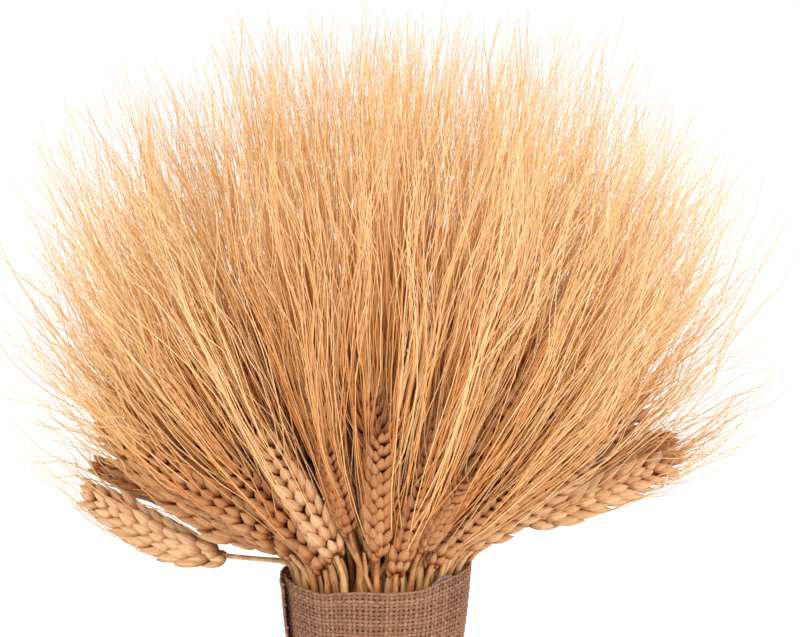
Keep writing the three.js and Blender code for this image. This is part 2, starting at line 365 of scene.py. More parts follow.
# Straw: hollow, with a satin sheen, dull gold, streaked lengthwise and brown in blotches
straw_finish, tree, shader = finish_of("dry_straw", Roughness=0.45, Specular_IOR_Level=0.35)
where = node(tree, "ShaderNodeTexCoord").out("Object")
tone = node(tree, "ShaderNodeAttribute", attribute_name="tone").out("Fac")
streaks = node(tree, "ShaderNodeTexNoise", {"Vector": where * (900, 900, 60), "Detail": 3.0})
blotches = node(tree, "ShaderNodeTexNoise", {"Vector": where * (70, 70, 28), "Detail": 2.0})
# tone carries painted shade as well, so straws of the inner rings come out darker
shade = streaks.out("Fac") * 0.5 + blotches.out("Fac") * 0.5 + tone * 0.1
colour = node(tree, "ShaderNodeValToRGB", {"Fac": shade}, stops=[
    (0.28, (0.24, 0.07, 0.012)), (0.42, (0.45, 0.19, 0.056)), (0.58, (0.66, 0.37, 0.16)),
    (0.74, (0.83, 0.57, 0.33))])
ridges = node(tree, "ShaderNodeBump", {"Strength": 0.35, "Distance": 0.0002, "Height": streaks.out("Fac")})
wire_up(tree, shader, Base_Color=colour, Normal=ridges)

# Chaff: the plump husks of the florets, matt, with painted shade darkening their feet where they nest
chaff_finish, tree, shader = finish_of("dry_chaff", Roughness=0.65, Specular_IOR_Level=0.25)
where = node(tree, "ShaderNodeTexCoord").out("Object")
along = node(tree, "ShaderNodeAttribute", attribute_name="along").out("Fac")
strand = node(tree, "ShaderNodeAttribute", attribute_name="strand").out("Fac")
tone = node(tree, "ShaderNodeAttribute", attribute_name="tone").out("Fac")
turn = node(tree, "ShaderNodeAttribute", attribute_name="round").out("Fac")
mottle = node(tree, "ShaderNodeTexNoise", {"Vector": where * 420, "Detail": 3.0})
veins = node(tree, "ShaderNodeMath", {0: turn * 56.5}, operation="SINE")
# painted shade: the colour is darkest at each husk's foot, for the shadow in the crevice beneath it
clear = node(tree, "ShaderNodeMapRange", {"Value": along, "From Min": 0.08, "From Max": 0.5,
                                          "To Min": 0.0, "To Max": 0.42})
# tone brings in each ear's tone with its painted light and shade
shade = clear + along * 0.16 + mottle.out("Fac") * 0.3 + strand * 0.16 + tone * 0.09 + veins * 0.04
colour = node(tree, "ShaderNodeValToRGB", {"Fac": shade}, stops=[
    (0.15, (0.17, 0.034, 0.004)), (0.38, (0.30, 0.088, 0.020)), (0.60, (0.44, 0.185, 0.068)),
    (0.78, (0.55, 0.275, 0.122)), (1.0, (0.71, 0.45, 0.245))])
relief = node(tree, "ShaderNodeBump", {"Strength": 0.6, "Distance": 0.0003,
                                       "Height": mottle.out("Fac") + veins * 0.4})
wire_up(tree, shader, Base_Color=colour, Normal=relief)

# Awns: stiff bristles, deep gold where they leave the ear and paler towards the tip, a paling that is
# painted light for the glow of light through the thin tips
awn_finish, tree, shader = finish_of("dry_awn", Roughness=0.55, Specular_IOR_Level=0.2)
along = node(tree, "ShaderNodeAttribute", attribute_name="along").out("Fac")
strand = node(tree, "ShaderNodeAttribute", attribute_name="strand").out("Fac")
tone = node(tree, "ShaderNodeAttribute", attribute_name="tone").out("Fac")
# along paints that glow in as painted light, and tone darkens the awns of inner rings as painted shade
shade = along * 0.42 + strand * 0.48 + tone * 0.12 + 0.07
colour = node(tree, "ShaderNodeValToRGB", {"Fac": shade}, stops=[
    (0.0, (0.54, 0.16, 0.025)), (0.2, (0.74, 0.335, 0.10)), (0.42, (0.83, 0.475, 0.205)),
    (0.7, (0.88, 0.595, 0.295)), (1.0, (0.88, 0.70, 0.45))])
wire_up(tree, shader, Base_Color=colour)


def named(tree, name, form="FLOAT"):
    return node(tree, "GeometryNodeInputNamedAttribute", {"Name": name}, data_type=form)


def vector_of(tree, x, y, z):
    return node(tree, "ShaderNodeCombineXYZ", {0: x, 1: y, 2: z})


def parts_of(wire):
    split = node(wire.tree, "ShaderNodeSeparateXYZ", {0: wire})
    return split, split.out("Y"), split.out("Z")


def new_tree(name, sizes):
    """A geometry tree with named number inputs. Returns the tree, its geometry and the inputs."""
    tree = bpy.data.node_groups.new(name, "GeometryNodeTree")
    tree.interface.new_socket("Geometry", in_out="OUTPUT", socket_type="NodeSocketGeometry")
    tree.interface.new_socket("Geometry", in_out="INPUT", socket_type="NodeSocketGeometry")
    for label, value in sizes.items():
        kind = "NodeSocketInt" if isinstance(value, int) else "NodeSocketFloat"
        tree.interface.new_socket(label, in_out="INPUT", socket_type=kind).default_value = value
    start = node(tree, "NodeGroupInput")
    return tree, start, {label: start.out(label) for label in sizes}


def stored(wire, name, value, form="FLOAT", domain="POINT"):
    return node(wire.tree, "GeometryNodeStoreNamedAttribute",
                {"Geometry": wire, "Name": name, "Value": value}, data_type=form, domain=domain)


def mapped(wire, columns, low, high, rows=1):
    """Lays every strand out in a cell of its own on the map: round it in U, along it in V."""
    tree = wire.tree
    cell = named(tree, "cell")
    row = node(tree, "ShaderNodeMath", {0: cell / columns}, operation="FLOOR")
    across = (cell - row * columns + named(tree, "round") * 0.9 + 0.05) / columns
    up = (row + named(tree, "along") * 0.92 + 0.04) / rows
    return stored(wire, "OFBake", vector_of(tree, across, low + (high - low) * up, 0.0),
                  "FLOAT2", "CORNER")


def grown_tree(name, straw_sides, floret_sides, floret_rings, awn_steps, awn_rows, floret_rows):
    """The tree that grows a piece from its points: straws, then florets, then awns."""
    tree, start, size = new_tree(name, {
        "Straw Sides": straw_sides, "Hollow": 9 * MM, "Floret Sides": floret_sides,
        "Floret Rings": floret_rings, "Awn Steps": awn_steps, "Awn Sides": 3, "Drift": 26 * MM,
        "Wave": 12 * MM, "Straws": 1, "Florets": 90, "Awns": 54})

    def only(kind):
        match = node(tree, "FunctionNodeCompare", {"A": named(tree, "kind"), "B": float(kind),
                                                   "Epsilon": 0.1}, operation="EQUAL")
        return node(tree, "GeometryNodeSeparateGeometry", {"Geometry": start, "Selection": match},
                    domain="POINT")

    def ring_of(sides):
        ring = node(tree, "GeometryNodeCurvePrimitiveCircle", {"Resolution": sides, "Radius": 1.0})
        return stored(ring, "round", node(tree, "GeometryNodeSplineParameter"))

    # straw: a tube along its route, with a hollow drawn up into its level-cut foot
    route = node(tree, "GeometryNodeMeshToCurve", {"Mesh": only(Growth.STRAW)})
    straw = node(tree, "GeometryNodeCurveToMesh", {
        "Curve": route, "Profile Curve": ring_of(size["Straw Sides"]),
        "Scale": named(tree, "thick"), "Fill Caps": True})
    straw = node(tree, "GeometryNodeSetShadeSmooth", {"Geometry": straw})
    heading = parts_of(node(tree, "GeometryNodeInputNormal"))[2]
    height = parts_of(node(tree, "GeometryNodeInputPosition"))[2]
    foot = (heading * -1 > 0.9) * (0.5 * MM - height > 0)
    rim = node(tree, "GeometryNodeExtrudeMesh", {"Mesh": straw, "Selection": foot,
                                                 "Offset Scale": 0.0}, mode="FACES")
    top = rim.out("Top")
    wall = node(tree, "GeometryNodeScaleElements", {"Geometry": rim, "Selection": top,
                                                    "Scale": 0.7}, domain="FACE")
    straw = node(tree, "GeometryNodeExtrudeMesh", {
        "Mesh": wall, "Selection": top, "Offset": vector_of(tree, 0.0, 0.0, 1.0),
        "Offset Scale": size["Hollow"]}, mode="FACES")
    straw = mapped(straw, size["Straws"], 0.0, 0.06)
    straw = node(tree, "GeometryNodeSetMaterial", {"Geometry": straw, "Material": straw_finish})

    # floret: a plump pointed husk, keeled outside, flatter inside, its tip drawn to the ear
    husk = node(tree, "GeometryNodeMeshUVSphere", {
        "Segments": size["Floret Sides"], "Rings": size["Floret Rings"], "Radius": 0.5})
    x, y, z = parts_of(node(tree, "GeometryNodeInputPosition"))
    rise = z + 0.5
    swell = node(tree, "ShaderNodeFloatCurve", {"Value": rise}, stops=[
        (0, 0.2), (0.06, 0.64), (0.19, 0.94), (0.4, 1.0), (0.68, 0.74), (0.88, 0.32), (1, 0.03)])
    flat = node(tree, "ShaderNodeVectorMath", {0: vector_of(tree, x, y, 0.0)}, operation="NORMALIZE")
    side, out, _ = parts_of(flat)
    fullness = 0.72 + 0.28 * (out > 0)
    keel = 1 + 0.2 * node(tree, "ShaderNodeMath", {0: out, 1: 5.0}, operation="POWER") * (out > 0)
    boxy = swell * (1 + 0.35 * (side * side * out * out))
    drawn = 0.22 * (rise - 0.45) ** 2.0
    shaped = vector_of(tree, side * boxy * 0.5, out * boxy * fullness * keel * 0.5 - drawn, rise)
    husk = stored(husk, "along", rise)
    husk = stored(husk, "round", node(tree, "ShaderNodeMath", {0: y, 1: x}, operation="ARCTAN2")
                  * (0.5 / math.pi) + 0.5)
    husk = node(tree, "GeometryNodeSetPosition", {"Geometry": husk, "Position": shaped})
    husk = node(tree, "GeometryNodeSetShadeSmooth", {"Geometry": husk})
    pose = node(tree, "FunctionNodeAxesToRotation", {
        "Primary Axis": named(tree, "axis", "FLOAT_VECTOR"),
        "Secondary Axis": named(tree, "face", "FLOAT_VECTOR")}, primary_axis="Z", secondary_axis="Y")
    florets = node(tree, "GeometryNodeInstanceOnPoints", {
        "Points": stored(only(Growth.FLORET), "along", 0.0), "Instance": husk, "Rotation": pose,
        "Scale": named(tree, "size", "FLOAT_VECTOR")})
    florets = node(tree, "GeometryNodeRealizeInstances", {"Geometry": florets})
    florets = mapped(florets, size["Florets"], 0.08, 0.46, floret_rows)
    florets = node(tree, "GeometryNodeSetMaterial", {"Geometry": florets, "Material": chaff_finish})

    # awn: a three-sided bristle that tapers to its tip and bows a little
    bristle = node(tree, "GeometryNodeCurvePrimitiveLine", {"End": (0, 0, 1)})
    bristle = node(tree, "GeometryNodeResampleCurve", {"Curve": bristle,
                                                       "Count": size["Awn Steps"] + 1})
    rise = node(tree, "GeometryNodeSplineParameter")
    bristle = stored(bristle, "along", rise)
    awns = node(tree, "GeometryNodeInstanceOnPoints", {"Points": only(Growth.AWN), "Instance": bristle})
    awns = node(tree, "GeometryNodeRealizeInstances", {"Geometry": awns})
    share = node(tree, "GeometryNodeSplineParameter")
    bow = (named(tree, "axis", "FLOAT_VECTOR") * share
           + named(tree, "face", "FLOAT_VECTOR") * (share * share)
           + named(tree, "size", "FLOAT_VECTOR") * (share * (1 - share) ** 2.0))
    awns = node(tree, "GeometryNodeSetPosition", {
        "Geometry": awns, "Offset": bow - vector_of(tree, 0.0, 0.0, share)})
    place = node(tree, "GeometryNodeInputPosition")
    drift = node(tree, "ShaderNodeTexNoise", {"Vector": place * (38, 38, 12), "Scale": 1.0,
                                              "Detail": 1.0})
    strand = named(tree, "strand")
    wave = node(tree, "ShaderNodeTexNoise", {
        "Vector": vector_of(tree, strand * 97.0, named(tree, "cell") * 0.37, share * 3.4),
        "Scale": 1.0, "Detail": 1.0})
    bends = ((drift.out("Color") - (0.5, 0.5, 0.5)) * size["Drift"]
             + (wave.out("Color") - (0.5, 0.5, 0.5)) * size["Wave"]) * share
    awns = node(tree, "GeometryNodeSetPosition", {"Geometry": awns, "Offset": bends})
    taper = named(tree, "thick") * (1 - 0.62 * share * share)
    awns = node(tree, "GeometryNodeCurveToMesh", {
        "Curve": awns, "Profile Curve": ring_of(size["Awn Sides"]), "Scale": taper,
        "Fill Caps": True})
    awns = node(tree, "GeometryNodeSetShadeSmooth", {"Geometry": awns})
    awns = mapped(awns, size["Awns"], 0.5, 1.0, awn_rows)
    awns = node(tree, "GeometryNodeSetMaterial", {"Geometry": awns, "Material": awn_finish})

    joined = tree.nodes.new("GeometryNodeJoinGeometry")
    for part in (awns, florets, straw):
        tree.links.new(part.socket, joined.inputs[0])
    whole = node(tree, "GeometryNodeRealizeInstances", {"Geometry": Wire(joined.outputs[0])})
    node(tree, "NodeGroupOutput", {"Geometry": whole})
    return tree


def made_of(name, mesh, tree, drop=(), **sizes):
    """A piece grown by a tree from a mesh, turned into a plain mesh."""
    seed = bpy.data.objects.new(name + "_seed", mesh)
    scene.collection.objects.link(seed)
    maker = seed.modifiers.new("grow", "NODES")
    maker.node_group = tree
    for item in tree.interface.items_tree:
        if item.in_out == "INPUT" and item.name.replace(" ", "_") in sizes:
            maker[item.identifier] = sizes[item.name.replace(" ", "_")]
    depsgraph = bpy.context.evaluated_depsgraph_get()
    plain = bpy.data.meshes.new_from_object(
        seed.evaluated_get(depsgraph), preserve_all_data_layers=True, depsgraph=depsgraph)
    for trait in drop:
        if trait in plain.attributes:
            plain.attributes.remove(plain.attributes[trait])
    used = [slot for slot in range(len(plain.materials)) if plain.materials[slot]]
    worn = [0] * len(plain.polygons)
    plain.polygons.foreach_get("material_index", worn)
    finishes = [plain.materials[slot] for slot in used]
    plain.materials.clear()
    for finish in finishes:
        plain.materials.append(finish)
    plain.polygons.foreach_set("material_index", [used.index(slot) for slot in worn])
    piece = bpy.data.objects.new(name, plain)
    scene.collection.objects.link(piece)
    bpy.data.objects.remove(seed)
    return piece


# each floret of a spikelet: its foot (aside, outward, up), lean, turn, size (width, thickness,
# length), and whether it is fertile and so bears an awn
SPIKELET = [
    ((-3.3, 0.8, 0.0), 19, -72, (5.2, 3.0, 9.8), False),
    ((3.3, 0.8, 0.0), 19, 72, (5.2, 3.0, 9.8), False),
    ((-2.3, 1.9, 0.8), 23, -40, (5.4, 4.0, 12.8), True),
    ((2.3, 1.9, 0.8), 23, 40, (5.4, 4.0, 12.8), True),
    ((0.0, 2.6, 2.4), 28, 0, (5.0, 3.8, 11.6), True),
]
AWN_R = 0.29 * MM
AWN_SPREAD = 0.095
AWN_DRIFT = 0.9
AWN_LIFT = 0.3
AWN_SHORTER, AWN_SHORTER_ASIDE = 0.14, 0.2
SWAY, WILD_SWAY, WILD_SHARE = 0.18, 0.4, 0.02
LONGER_RIGHT, LONGER_ASIDE = 0.05, 0.12
# awns take half their stalk's tone, and painted shade darkens them further for each ring inwards
AWN_TONE, AWN_DEPTH_PAINTED_SHADE = 0.5, 0.3
BARE_FOOT, BARE_SIDE = 0.65, 0.6
JOINT_LEVELS, JOINT_SWELL = (None, None, 18, 27), 1.16
RIM_SWELL, STRAW_BOW = 0.14, 0.05


def grow_ear(piece, stalk, husks, spikelets):
    """Adds one ear: spikelets on alternate sides of the rachis, most fertile florets with an awn."""
    longer = (1 + random.uniform(-0.06, 0.04)) * (1 + LONGER_RIGHT * stalk.side)
    longer *= 1 + LONGER_ASIDE * smooth(abs(stalk.side), 0.8, 1)
    length = stalk.ear * random.uniform(0.96, 1.06)
    fat = random.uniform(0.98, 1.1) * (0.45 + 0.55 * min(1, stalk.ear / EAR_LENGTH))
    girth = EAR_GIRTHS.get(stalk.number, 1)
    fat, spikelets = fat * girth, round(spikelets / girth ** 0.7)
    for i in range(spikelets):
        place = i / (spikelets - 1)
        up = stalk.neck + length * (0.02 + 0.88 * place)
        swell = fat * (0.72 + 0.28 * smooth(place, 0, 0.16)) * (1 - 0.34 * smooth(place, 0.62, 1))
        centre = stalk.point(up)
        stem = stalk.growth(up)
        across = Vector((0, 1, 0)).cross(stem).normalized()
        through = across.cross(stem)
        twist = stalk.twist + 0.25 * (place - 0.5)
        wide = across * math.cos(twist) + through * math.sin(twist)
        deep = through * math.cos(twist) - across * math.sin(twist)
        outward = wide * (1 if i % 2 else -1)
        for (aside, off, rise), lean, turn, form, bears_awn in husks:
            lean = math.radians(lean + 4 * random.uniform(-1, 1))
            turn = math.radians(turn + 10 * random.uniform(-1, 1))
            face = outward * math.cos(turn) + deep * math.sin(turn)
            axis = stem * math.cos(lean) + face * math.sin(lean)
            foot = centre + (deep * aside + outward * off + stem * rise) * (MM * swell)
            form = Vector(form) * (MM * swell * random.uniform(0.93, 1.07))
            piece.add_floret(foot, axis, face - axis * face.dot(axis), form, stalk.tone)
            kept = 1 - BARE_FOOT * (1 - smooth(place, 0.05, 0.4))
            kept *= 1 - BARE_SIDE * smooth(abs(stalk.side), 0.6, 0.95)
            if bears_awn and random.random() < kept:
                grow_awn(piece, stalk, foot + axis * form.z * 0.97, axis, face, stem, longer)


def grow_awn(piece, stalk, tip, axis, face, stem, longer):
    """Adds one awn, from a floret's tip along the flow, with a sway of its own near its root."""
    spread = AWN_SPREAD * random.uniform(0.2, 1.3)
    drift = face + AWN_DRIFT * Vector((random.uniform(-1, 1), random.uniform(-1, 1), 0))
    lift = AWN_LIFT * random.random() ** 1.2 * (1 - 0.75 * smooth(abs(stalk.side), 0.7, 0.95))
    shorter = (AWN_SHORTER + AWN_SHORTER_ASIDE * abs(stalk.side)) * random.random() ** 1.3
    end = stalk.reach(lift) * longer * (1 - shorter)
    goal = stalk.point(end, (spread * drift.x - lift * stalk.side, spread * drift.y))
    run = goal - tip
    start = (axis * 0.3 + stem * 0.3 + run.normalized() * 0.4) * run.length
    sway = Vector((random.gauss(0, 1), random.gauss(0, 1), random.gauss(0, 0.5)))
    sway *= run.length * (WILD_SWAY if random.random() < WILD_SHARE else SWAY)
    # painted shade: the awns of inner rings come out darker, for the shade inside the fan
    tone = AWN_TONE * stalk.tone - AWN_DEPTH_PAINTED_SHADE * stalk.depth
    piece.add_awn(tip, start, run - start, sway, AWN_R * random.uniform(0.8, 1.25), tone)


def grow_straw(piece, stalk, steps_up):
    """Adds one straw, from its level-cut foot to the ear, thicker at its joint if it has one."""
    route = [0, 6, 12, 40, 80, 115, 143]
    joint = random.choice(JOINT_LEVELS)
    if joint:
        route = [0, 6, joint - 2.2, joint - 0.8, joint + 0.8, joint + 2.2, 40, 80, 115, 143]
    levels = [z * MM - RIM_Z for z in route]
    levels += [stalk.neck * (i + 0.5) / steps_up for i in range(steps_up)] + [stalk.neck + 4 * MM]
    radii = []
    for past in levels:
        radius = waist_at(RIM_Z + past)[1] * (1 + RIM_SWELL * smooth(past, -40 * MM, -6 * MM))
        radius += (NECK_R - radius) * smooth(past, -5 * MM, 0.45 * stalk.neck)
        if joint and abs((past + RIM_Z) / MM - joint) < 1:
            radius *= JOINT_SWELL
        radii.append(radius)
    bow = Vector((random.uniform(-1, 1), 0.3 * random.uniform(-1, 1), 0)) * (STRAW_BOW * stalk.neck)
    points = [stalk.point(past) + bow * math.sin(math.pi * smooth(past, -6 * MM, stalk.neck))
              for past in levels]
    # the straw takes its stalk's tone, painted shade included, within limits
    piece.add_straw(points, radii, max(-1, min(0.6, stalk.tone)))


stalk_tree = grown_tree("wheat_stalk", 8, 8, 6, 9, 1, 2)
LEFT_OVER = ("kind", "thick", "axis", "face", "size", "cell")


def add_ring(name, ring, sides, rings):
    for index in range(6 * ring):
        stalk = Stalk(ring, index)
        random.seed(1000 + stalk.number)
        piece = Growth()
        grow_straw(piece, stalk, 6)
        grow_ear(piece, stalk, SPIKELET, 20)
        label = f"{name}_{index + 1:02d}"
        grown = made_of("wheat_" + label, piece.mesh(label), stalk_tree, LEFT_OVER,
                        Floret_Sides=sides, Floret_Rings=rings,
                        Florets=(piece.cells[Growth.FLORET] + 1) // 2, Awns=piece.cells[Growth.AWN])
        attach(grown, "root")
        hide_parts(label)


add_ring("outer_stalk", 5, 8, 6)
add_ring("middle_stalk", 4, 6, 5)

# ---------------------------------------------------------------------------------------------
# Inner stalks: the 37 stalks in the middle of the bundle, of the same dried wheat. Their straws
# are packed tight at the tie and their awns fill the crown of the fan. One piece holds them.
# ---------------------------------------------------------------------------------------------
INNER_RINGS = 4
CORE_HUSKS = SPIKELET[2:]

core = Growth()
for ring in range(INNER_RINGS):
    for index in range(max(1, 6 * ring)):
        stalk = Stalk(ring, index)
        random.seed(1000 + stalk.number)
        grow_straw(core, stalk, 4)
        grow_ear(core, stalk, CORE_HUSKS, 16)
CORE_ROWS = 40
core_tree = grown_tree("inner_wheat", 6, 5, 4, 9, CORE_ROWS, CORE_ROWS)
inner = made_of("wheat_inner_stalks", core.mesh("inner_stalks"), core_tree, LEFT_OVER,
                Straws=core.cells[Growth.STRAW],
                Florets=math.ceil(core.cells[Growth.FLORET] / CORE_ROWS),
                Awns=math.ceil(core.cells[Growth.AWN] / CORE_ROWS))
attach(inner, "root")
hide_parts("inner_stalks")

# ---------------------------------------------------------------------------------------------
# Broken straws: stalks of the same wheat that have lost their ears. They stand between the others
# from the foot up, slant past the rim and end in a snapped tip, some of them high among the ears.
# ---------------------------------------------------------------------------------------------
BROKEN, BROKEN_OUTSIDE = 120, 45
GOLDEN_TURN = 2.399963
STUB_MM, TALL_STUB_MM = (10, 42), (70, 125)
STUB_SLANT = 0.6
PINCH = 0.35
PINCH_FROM, PINCH_FULL, PINCH_EASES, PINCH_TO = -110 * MM, -80 * MM, -60 * MM, -30 * MM

random.seed(53)
broken = Growth()
for i in range(BROKEN):
    stalk = Stalk(RINGS, 0)
    outer = i < BROKEN_OUTSIDE
    turn = GOLDEN_TURN * i
    inward = (i - BROKEN_OUTSIDE + 1) / (BROKEN - BROKEN_OUTSIDE + 1)
    depth = random.uniform(0.8, 0.98) if outer else 0.78 * math.sqrt(inward)
    stalk.u, stalk.v = depth * math.cos(turn), depth * math.sin(turn)
    stalk.side, stalk.front = 0.8 * stalk.u, 0.9 * stalk.v
    tall = random.uniform(*(TALL_STUB_MM if i % 3 == 0 and not outer else STUB_MM)) * MM
    thick = random.uniform(1.0, 1.5) * MM
    slant = Vector((random.uniform(-1, 1), 0.4 * random.uniform(-1, 1), 0)) * STUB_SLANT
    route, radii = [], []
    for past in [-150, -140, -110, -70, -35, -6, *(tall / MM * step / 4 for step in range(5))]:
        past *= MM
        route.append(stalk.point(past) + slant * max(0, past + 6 * MM))
        pressed = smooth(past, PINCH_FROM, PINCH_FULL)
        pressed = 1 - PINCH * pressed * smooth(past, PINCH_TO, PINCH_EASES)
        radii.append(thick * pressed * (1 - 0.2 * smooth(past, 0, 40 * MM)))
    broken.add_straw(route, radii, random.uniform(-1.5, 1))
stubs = made_of("broken_straws", broken.mesh("broken_straws"), stalk_tree, LEFT_OVER, Straws=BROKEN)
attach(stubs, "root")

# ---------------------------------------------------------------------------------------------
# Leaf strips: what is left of dried leaf sheaths, thin and slightly rolled, standing among the
# straws at the rim where they were stripped by hand.
# ---------------------------------------------------------------------------------------------
LEAF_HALF_WIDTH, LEAF_FOOT = 2.5 * MM, 12 * MM
LEAVES, LEAF_STEPS = 26, 8


def strip_tree(name, sides, flatness, finish):
    """The tree that makes yarns and strips: a flattened tube along each route, facing outwards."""
    tree, start, size = new_tree(name, {"Sides": sides, "Flatness": flatness, "Strips": 1,
                                        "Rows": 1})
    route = node(tree, "GeometryNodeMeshToCurve", {"Mesh": start})
    route = node(tree, "GeometryNodeSetCurveNormal", {
        "Curve": route, "Normal": named(tree, "face", "FLOAT_VECTOR")}, mode="FREE")
    ring = node(tree, "GeometryNodeCurvePrimitiveCircle", {"Resolution": size["Sides"], "Radius": 1.0})
    ring = stored(ring, "round", node(tree, "GeometryNodeSplineParameter"))
    ring = node(tree, "GeometryNodeTransform", {
        "Geometry": ring, "Scale": vector_of(tree, size["Flatness"], 1.0, 1.0)})
    tube = node(tree, "GeometryNodeCurveToMesh", {
        "Curve": route, "Profile Curve": ring, "Scale": named(tree, "thick"), "Fill Caps": True})
    tube = node(tree, "GeometryNodeSetShadeSmooth", {"Geometry": tube})
    cell = named(tree, "cell")
    row = node(tree, "ShaderNodeMath", {0: cell / size["Strips"]}, operation="FLOOR")
    along = (cell - row * size["Strips"] + named(tree, "along") * 0.98 + 0.01) / size["Strips"]
    up = (row + named(tree, "round") * 0.86 + 0.07) / size["Rows"]
    tube = stored(tube, "OFBake", vector_of(tree, along, up, 0.0), "FLOAT2", "CORNER")
    tube = node(tree, "GeometryNodeSetMaterial", {"Geometry": tube, "Material": finish})
    node(tree, "NodeGroupOutput", {"Geometry": node(tree, "GeometryNodeRealizeInstances",
                                                    {"Geometry": tube})})
    return tree


leaf_finish, tree, shader = finish_of("dry_leaf", Roughness=0.55)
where = node(tree, "ShaderNodeTexCoord").out("Object")
strand = node(tree, "ShaderNodeAttribute", attribute_name="strand").out("Fac")
fibres = node(tree, "ShaderNodeTexNoise", {"Vector": where * (1100, 1100, 40), "Detail": 3.0})
shade = fibres.out("Fac") * 0.7 + strand * 0.3
colour = node(tree, "ShaderNodeValToRGB", {"Fac": shade}, stops=[
    (0.28, (0.25, 0.09, 0.025)), (0.5, (0.55, 0.27, 0.09)), (0.75, (0.78, 0.50, 0.22))])
ridges = node(tree, "ShaderNodeBump", {"Strength": 0.5, "Distance": 0.0003, "Height": fibres.out("Fac")})
wire_up(tree, shader, Base_Color=colour, Normal=ridges)

random.seed(71)
leaves = Growth()
for i in range(LEAVES):
    turn = 2 * math.pi * (i + random.uniform(-0.3, 0.3)) / LEAVES
    sheath = Stalk(RINGS, 0)
    sheath.u, sheath.v = 0.93 * math.cos(turn), 0.93 * math.sin(turn)
    sheath.side, sheath.front = sheath.u, sheath.v
    tall = random.uniform(8, 30) * MM
    first, cell, tone = len(leaves.points), leaves.next_cell(Growth.STRAW), random.random()
    lean = Vector((random.uniform(-1, 1), random.uniform(-1, 1), 0)) * 0.28
    roll = random.uniform(-0.6, 0.6)
    for j in range(LEAF_STEPS + 1):
        share = j / LEAF_STEPS
        past = -LEAF_FOOT + share * (tall + LEAF_FOOT)
        point = sheath.point(past) + lean * max(0, past)
        facing = Vector((math.cos(turn + roll * share), math.sin(turn + roll * share), 0))
        leaves.add(Growth.STRAW, point, thick=LEAF_HALF_WIDTH * (1 - 0.75 * share ** 3),
                   along=share, strand=tone, cell=cell, face=facing)
    leaves.edges += [(k, k + 1) for k in range(first, len(leaves.points) - 1)]
leaf_tree = strip_tree("leaf_strip", 6, 0.16, leaf_finish)
strips = made_of("leaf_strips", leaves.mesh("leaf_strips"), leaf_tree, LEFT_OVER, Strips=1,
                 Rows=LEAVES)
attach(strips, "root")

# ---------------------------------------------------------------------------------------------
# Binding band: a flat natural-rubber band, stretched round the straws at the waist to hold them.
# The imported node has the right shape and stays.
# ---------------------------------------------------------------------------------------------
rubber, tree, shader = finish_of("natural_rubber", Roughness=0.6)
where = node(tree, "ShaderNodeTexCoord").out("Object")
bloom = node(tree, "ShaderNodeTexNoise", {"Vector": where * 260, "Detail": 3.0})
colour = node(tree, "ShaderNodeValToRGB", {"Fac": bloom}, stops=[
    (0.3, (0.42, 0.29, 0.13)), (0.7, (0.60, 0.45, 0.24))])
skin = node(tree, "ShaderNodeBump", {"Strength": 0.2, "Distance": 0.0002, "Height": bloom})
wire_up(tree, shader, Base_Color=colour, Normal=skin)
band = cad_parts["binding_band"]
band.data.materials.clear()
band.data.materials.append(rubber)

# ---------------------------------------------------------------------------------------------
# Film sleeve: thin clear film rolled round the tied straws before the burlap goes on. It is
# creased, milky where it folds, and peeps over the rim at the front right.
# ---------------------------------------------------------------------------------------------
FILM_INSET = 1.85 * MM
FILM_LOW, FILM_HIGH = 44 * MM, 143 * MM
FILM_TURNS, FILM_ROWS = 200, 34
PEEK, PEEK_TURN, PEEK_SHARPNESS = 10 * MM, -0.72, 14
CLEAR_BELOW, MILKY_ABOVE = 141 * MM, 149 * MM
FREE_LOW, FREE_HIGH = 148 * MM, 156 * MM

film_finish, tree, shader = finish_of("clear_film", Roughness=0.18)
where = node(tree, "ShaderNodeTexCoord").out("Object")
creases = node(tree, "ShaderNodeTexNoise", {"Vector": where * 190, "Detail": 4.0, "Distortion": 1.2})
colour = node(tree, "ShaderNodeValToRGB", {"Fac": creases}, stops=[
    (0.35, (0.20, 0.15, 0.16)), (0.55, (0.34, 0.28, 0.31)), (0.7, (0.60, 0.56, 0.62))])
crumpled = node(tree, "ShaderNodeMapRange", {
    "Value": parts_of(where)[2], "From Min": CLEAR_BELOW, "From Max": MILKY_ABOVE})
cover = node(tree, "ShaderNodeMapRange", {"Value": creases, "From Min": 0.35, "From Max": 0.7,
                                          "To Min": 0.30, "To Max": 0.9}) * (crumpled * 0.85 + 0.15)
crumple = node(tree, "ShaderNodeBump", {"Strength": 0.8, "Distance": 0.0008, "Height": creases})
wire_up(tree, shader, Base_Color=colour, Alpha=cover, Normal=crumple)

film_form = bmesh.new()
film_rows = []
for row in range(FILM_ROWS + 1):
    up = row / FILM_ROWS
    ring_points = []
    for k in range(FILM_TURNS):
        turn = 2 * math.pi * k / FILM_TURNS
        peek = max(0, math.cos(turn - PEEK_TURN)) ** PEEK_SHARPNESS
        z = FILM_LOW + (FILM_HIGH - FILM_LOW) * up + peek * PEEK * up ** 8
        ring_r, straw_r = waist_at(z)
        radius = ring_r + straw_r + FILM_INSET
        spot = Vector((math.cos(turn) * 9, math.sin(turn) * 9, z * 90))
        free = smooth(z, FREE_LOW, FREE_HIGH)
        radius += noise.noise(spot) * (0.22 + 1.6 * free) * MM
        radius += noise.noise(spot * 2.7) * (0.1 + 0.9 * free) * MM
        z += noise.noise(Vector((turn * 6, 3, 0))) * 1.6 * MM * up ** 8
        ring_points.append(film_form.verts.new((radius * math.cos(turn), radius * math.sin(turn), z)))
    film_rows.append(ring_points)
for low, high in zip(film_rows, film_rows[1:]):
    for k in range(FILM_TURNS):
        after = (k + 1) % FILM_TURNS
        film_form.faces.new((low[k], low[after], high[after], high[k])).smooth = True
film_mesh = bpy.data.meshes.new("film_sleeve")
film_form.to_mesh(film_mesh)
film_form.free()
